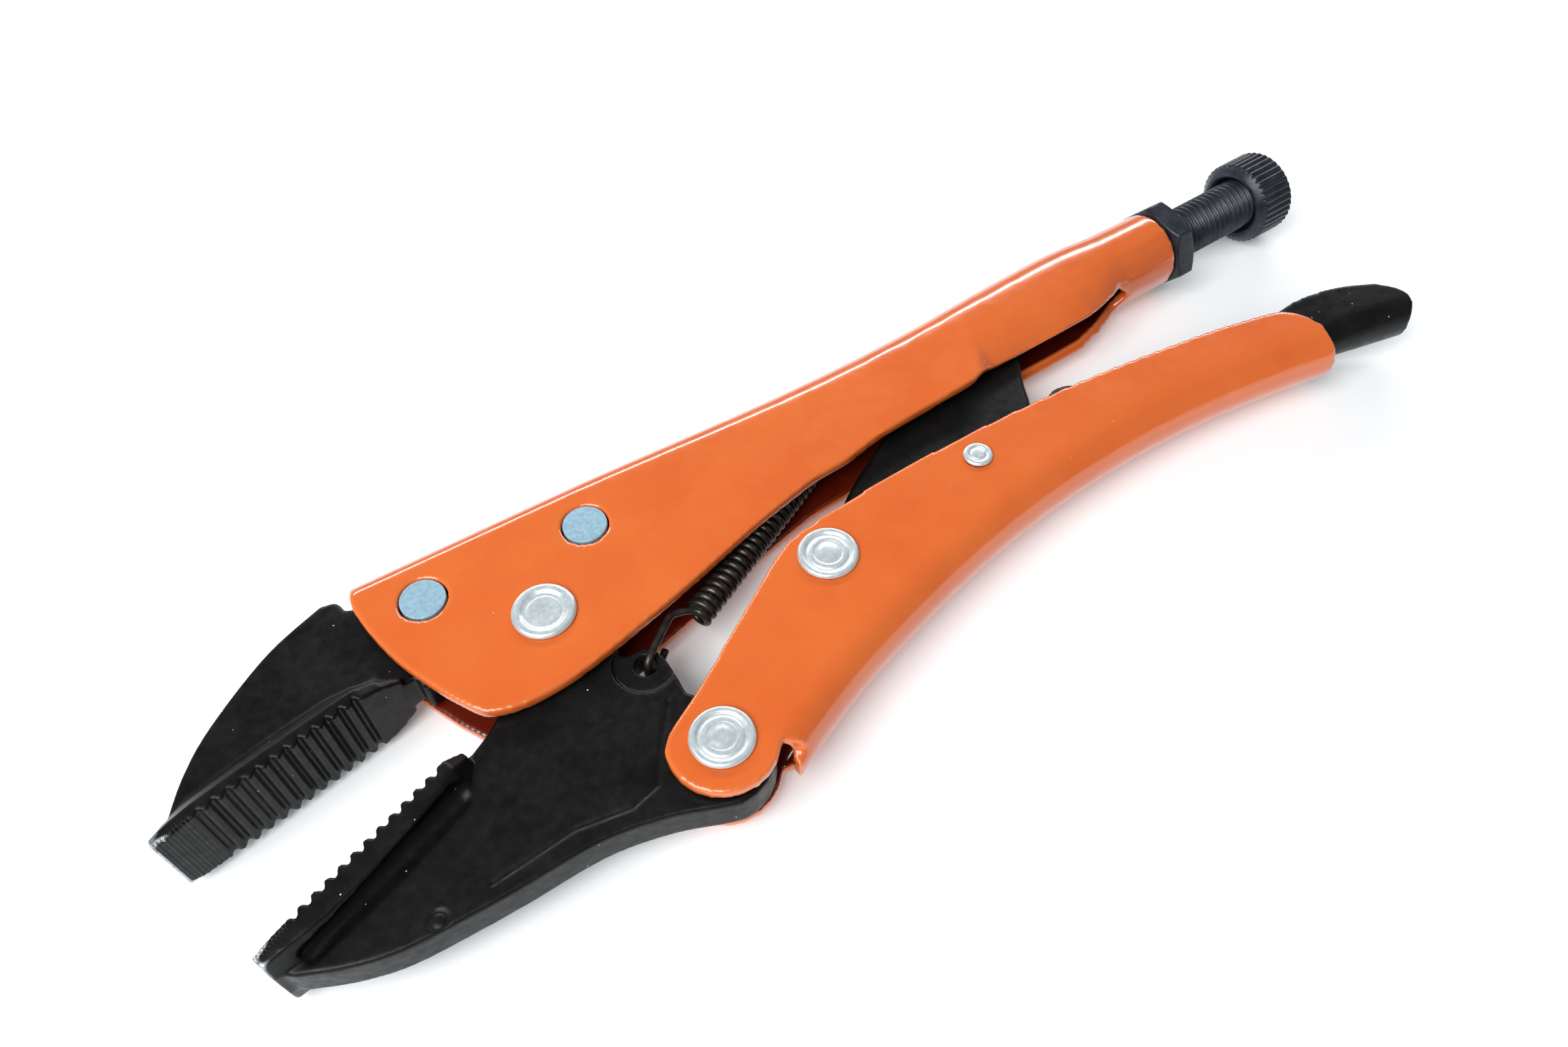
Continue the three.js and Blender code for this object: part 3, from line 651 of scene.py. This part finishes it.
def moving_jaw_detail(skin):
    """The forging's step along the lower flange and the small round stamp near the tip."""
    normals = skin.normals()
    flat = np.abs(normals[:, 2]) ** 4
    step = [(-28, -36.1), (-14, -35.6), (-5, -37.6), (0, -36.6), (4, -31.1), (9, -25.1)]
    stamp, stamp_r = np.array((-36.8, -36.6)), 1.3
    off_stamp = np.abs(np.linalg.norm(skin.points[:, :2] - stamp, axis=1) - stamp_r)
    heights = -0.28 * hump(off_line(skin.points, step), 0.45) - 0.3 * hump(off_stamp, 0.35)
    skin.raise_by(heights * flat, normals)


def fixed_jaw_detail(skin):
    """The fine forging ridge that runs down the jaw's side towards the tip."""
    normals = skin.normals()
    ridge = [(-29, 5.9), (-48, 3.4), (-66, 0.2)]
    skin.raise_by(0.2 * hump(off_line(skin.points, ridge), 0.8) * np.abs(normals[:, 2]) ** 2, normals)


def black_pressing(name, node, material):
    """A black sheet part that is a body of its own."""
    skin = Skin(name, node, PRESSING_VOXEL)
    skin.relax(20, skin.edges_held())
    skin.blunt(2)
    fitted(skin.finish(), node, node, material)


# Each rivet's body, its shank's radius, and its head's outline from the rim to the middle, as
# (share of the head's radius, share of its height).
RIVETS = {
    "jaw_pivot_rivet": ("body", 4.0, [
        (1.0, 0.0), (1.0, 0.3), (0.93, 1.0), (0.74, 0.98), (0.66, 0.45), (0.56, 0.3),
        (0.5, 0.42), (0.3, 0.36), (0.0, 0.3)]),
    "handle_pivot_rivet": ("moving_jaw", 4.0, [
        (1.0, 0.0), (1.0, 0.3), (0.94, 1.0), (0.79, 0.96), (0.74, 0.5), (0.68, 0.45),
        (0.62, 0.78), (0.48, 0.8), (0.44, 0.68), (0.36, 0.74), (0.2, 1.0), (0.0, 0.9)]),
    "toggle_rivet": ("lower_handle", 4.0, [
        (1.0, 0.0), (1.0, 0.3), (0.94, 1.0), (0.8, 0.96), (0.74, 0.5), (0.68, 0.42),
        (0.62, 0.75), (0.5, 0.84), (0.46, 0.66), (0.38, 0.7), (0.22, 0.95), (0.0, 1.0)]),
    "release_lever_rivet": ("lower_handle", 2.0, [
        (1.0, 0.0), (1.0, 0.35), (0.9, 0.9), (0.66, 0.9), (0.6, 0.6), (0.5, 0.62),
        (0.42, 0.9), (0.0, 0.95)]),
}


def mirrored(upper):
    """A (radius, height) profile that goes up to the upper half given from its mirror image."""
    return [(r, -h) for r, h in upper[::-1]] + list(upper)


def rivet(node, material):
    """A rivet with a formed head on both sides."""
    body, shank_r, head = RIVETS[node]
    radius = size(node).x / 2
    under = HALF + HEAD_GAP
    height = size(node).z / 2 - under
    face = [(r * radius, under + h * height) for r, h in head]
    profile = mirrored(softened([(shank_r, under)] + face))
    fitted(turned(node + "_formed", place_of(node), profile), body, node, material)


def pin(node, material):
    """A pin ground flush with both cheeks, its rim just broken."""
    radius, half = size(node).x / 2, size(node).z / 2
    rim = [(radius, half - 0.6), (radius, half - 0.1), (radius - 0.15, half), (0, half)]
    piece = turned(node + "_ground", place_of(node), mirrored(softened(rim)))
    fitted(piece, "body", node, material)


def ends_along_screw(node):
    """Where a node starts and ends in x."""
    low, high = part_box(node)
    return (low.x - HOME.x) / MM, (high.x - HOME.x) / MM


def screw(material):
    """The adjusting screw with its thread, and the plain spigot that the knob is pressed onto."""
    start, end = ends_along_screw("adjusting_screw")
    shoulder = ends_along_screw("adjusting_knob")[0] + HOLLOW - 0.4

    def threaded(r, x, angles):
        if r < SCREW_R - 0.01:
            return np.full(len(angles), max(r, 0.01))
        phase = (x / THREAD_PITCH + angles / TURN) % 1
        crest = np.clip(1.25 * np.abs(2 * phase - 1) - 0.12, 0, 1)
        tapered = 1.9 * (1 - min(1.0, (x - start) / 1.6))
        full_depth = max(0.0, min(1.0, 0.4 + min(1.0, (x - start) / 1.5, (shoulder - x) / 1.0)))
        return SCREW_R - np.clip(THREAD_DEPTH * (1 - crest) + tapered, 0, SCREW_R) * full_depth

    stations = np.arange(start, shoulder, THREAD_PITCH / 9)
    profile = [(0, start), (SPIGOT_R, start)] + [(SCREW_R, x) for x in stations]
    profile += [(SCREW_R, shoulder), (SPIGOT_R, shoulder), (SPIGOT_R, end), (0, end)]
    piece = turned("adjusting_screw_threaded", (0, SCREW_Y, 0), profile, axis="x",
                   sides=48, radius=threaded)
    fitted(piece, "adjusting_screw", "adjusting_screw", material)


def knob(material):
    """The fluted knob: a hollow round the screw, a chamfered ring, then flutes to a rounded end."""
    start, end = ends_along_screw("adjusting_knob")
    radius = size("adjusting_knob").z / 2
    grip_to = end - 0.9
    bore_r = SPIGOT_R + SPIGOT_CLEARANCE

    def fluted(r, x, angles):
        reach = np.full(len(angles), max(r, 0.01))
        deep = FLUTE_DEPTH * (1 - np.abs(np.sin(FLUTES * angles / 2)) ** 0.6)
        if start + 0.9 < x < grip_to + 0.3:
            reach = np.minimum(reach, radius - deep)
        return reach

    bore = [(0, start + KNOB_BORE), (bore_r, start + KNOB_BORE), (bore_r, start + HOLLOW)]
    hollow = [(6.0, start + HOLLOW), (6.2, start + 0.7), (6.7, start)]
    chamfer = [(7.4, start), (8.3, start + 0.7), (8.8, start + 1.2)]
    grip = [(radius, start + x) for x in (1.4, 1.6, 1.8)] + [(radius, grip_to), (radius, grip_to)]
    dished_end = [(7.9, end), (5.6, end), (5.0, end - 0.5), (0, end - 0.5)]
    profile = bore + list(softened(hollow + chamfer + grip + dished_end))
    piece = turned("adjusting_knob_fluted", (0, SCREW_Y, 0), profile, axis="x",
                   sides=8 * FLUTES, radius=fluted)
    fitted(piece, "adjusting_knob", "adjusting_knob", material)


def lock_nut(material):
    """A chamfered hexagon nut, as a ring whose bore clears the thread."""
    start, end = ends_along_screw("lock_nut")
    bore_r = SCREW_R + 0.3
    corner_r = NUT_FLATS / math.sqrt(3) - 0.08
    angles = np.linspace(0, TURN, 240, endpoint=False)
    sixth = TURN / 6
    hexagon = NUT_FLATS / 2 / np.cos((angles - NUT_TILT) % sixth - sixth / 2)

    def ring(x, reach):
        across, up = reach * np.cos(angles), reach * np.sin(angles)
        return np.stack([np.full(len(angles), x), SCREW_Y + across, up], 1)

    def outside(x):
        """The hexagon cut by the cone that chamfers whichever end is nearer."""
        cone = NUT_FLATS / 2 - 0.15 + min(x - start, end - x) * 1.75
        sharpness = 9
        smaller = -np.logaddexp(-hexagon * sharpness, -cone * sharpness) / sharpness
        return ring(x, np.minimum(smaller, corner_r))

    chamfer = np.linspace(0, 1.6, 9)
    rings = [ring(x, bore_r) for x in (start + 0.6, start)]
    rings += [outside(start + t) for t in chamfer]
    rings += [outside(end - t) for t in chamfer[::-1]]
    rings += [ring(x, bore_r) for x in (end, end - 0.6)]
    fitted(ring_mesh("lock_nut_chamfered", rings), "lock_nut", "lock_nut", material)


def coil():
    """The spring's close turns, about the line from COIL_START to COIL_END."""
    start, end = np.array(COIL_START), np.array(COIL_END)
    length = np.linalg.norm(end - start)
    run = (end - start) / length
    side = np.array((run[1], -run[0], 0.0))
    up = np.array((0.0, 0.0, 1.0))
    turns = round(length / SPRING_PITCH)
    angles = np.linspace(0, TURN * turns, turns * 22)
    around = np.outer(np.cos(angles), up) + np.outer(np.sin(angles), side)
    return start + np.outer(angles / angles[-1] * length, run) + (COIL_R - WIRE_R) * around


def spring(material):
    """The tension spring: close turns between a hook through the jaw's ear and one on the tongue."""
    path = np.concatenate([smooth_path(FRONT_HOOK, 8), coil(), smooth_path(REAR_HOOK, 8)])
    piece = tube("tension_spring_wound", path, WIRE_R)
    piece.data.materials.append(material)
    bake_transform(piece)
    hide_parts("tension_spring")


# Studio ------------------------------------------------------------------------------------------

def floor():
    """A plain sheet, 6 m across, just where the tool lies."""
    low, high = cad_box
    reach = 3.0
    centre = (low + high) / 2
    corners = [(-reach, -reach), (reach, -reach), (reach, reach), (-reach, reach)]
    points = [(centre.x + x, centre.y + y, low.z) for x, y in corners]
    mesh = bpy.data.meshes.new("studio_floor")
    mesh.from_pydata(points, [], [(0, 1, 2, 3)])
    plane = bpy.data.objects.new("studio_floor", mesh)
    bpy.context.scene.collection.objects.link(plane)
    mesh.materials.append(floor_paper())


def softbox(name, place, target, width, height, power):
    """A rectangular lamp turned to its target; its size is in metres and its power in watts."""
    lamp = bpy.data.lights.new(name, "AREA")
    lamp.shape = "RECTANGLE"
    lamp.size, lamp.size_y = width, height
    lamp.energy = power
    holder = bpy.data.objects.new(name, lamp)
    holder.location = place
    holder.rotation_euler = (target - place).to_track_quat("-Z", "Y").to_euler()
    bpy.context.scene.collection.objects.link(holder)


def lights():
    """A long low key behind the tool, which draws the highlight down the handle, and a broad fill."""
    target = at(60, -10)
    softbox("key", target + Vector((0.45, 0.87, 0.5)), target, 1.5, 0.11, 8)
    softbox("fill", target + Vector((-0.75, -0.25, 0.9)), target, 0.9, 0.9, 18)
    world = bpy.data.worlds.new("studio")
    world.use_nodes = True
    sky = world.node_tree.nodes["Background"]
    sky.inputs["Color"].default_value = (0.86, 0.93, 1.0, 1)
    sky.inputs["Strength"].default_value = 0.25
    bpy.context.scene.world = world


def camera():
    """Above the front of the jaws, looking back and down along the tool."""
    lens = bpy.data.cameras.new("camera")
    lens.lens = 27.286
    holder = bpy.data.objects.new("camera", lens)
    turn = Matrix.Rotation(math.radians(-33), 4, "Z")
    tip = Matrix.Rotation(math.radians(37.15), 4, "X")
    roll = Matrix.Rotation(math.radians(-1.84), 4, "Z")
    holder.matrix_world = Matrix.Translation(at(-25.7, -114.7, HALF + 168)) @ turn @ tip @ roll
    bpy.context.scene.collection.objects.link(holder)
    bpy.context.scene.camera = holder
    bpy.context.scene.view_settings.view_transform = "Standard"


def build():
    paint, black, worn = orange_paint(), black_paint(), jaw_paint()
    oxide, zinc, steel = black_oxide(), zinc_plate(), pin_steel()
    handle("upper_handle_pressing", "body_shell", "body", paint, TUBE_FROM)
    handle("lower_handle_pressing", "lower_handle", "lower_handle", paint)
    jaw("fixed_jaw_forging", "fixed_jaw", "body", worn, fixed_jaw_detail)
    jaw("moving_jaw_forging", "moving_jaw", "moving_jaw", worn, moving_jaw_detail)
    black_pressing("toggle_link_stamping", "toggle_link", black)
    black_pressing("release_lever_pressing", "release_lever", black)
    for node in RIVETS:
        rivet(node, zinc)
    for node in ("front_jaw_pin", "rear_jaw_pin"):
        pin(node, steel)
    screw(oxide)
    knob(oxide)
    lock_nut(oxide)
    spring(spring_steel())


camera()
lights()
floor()
build()
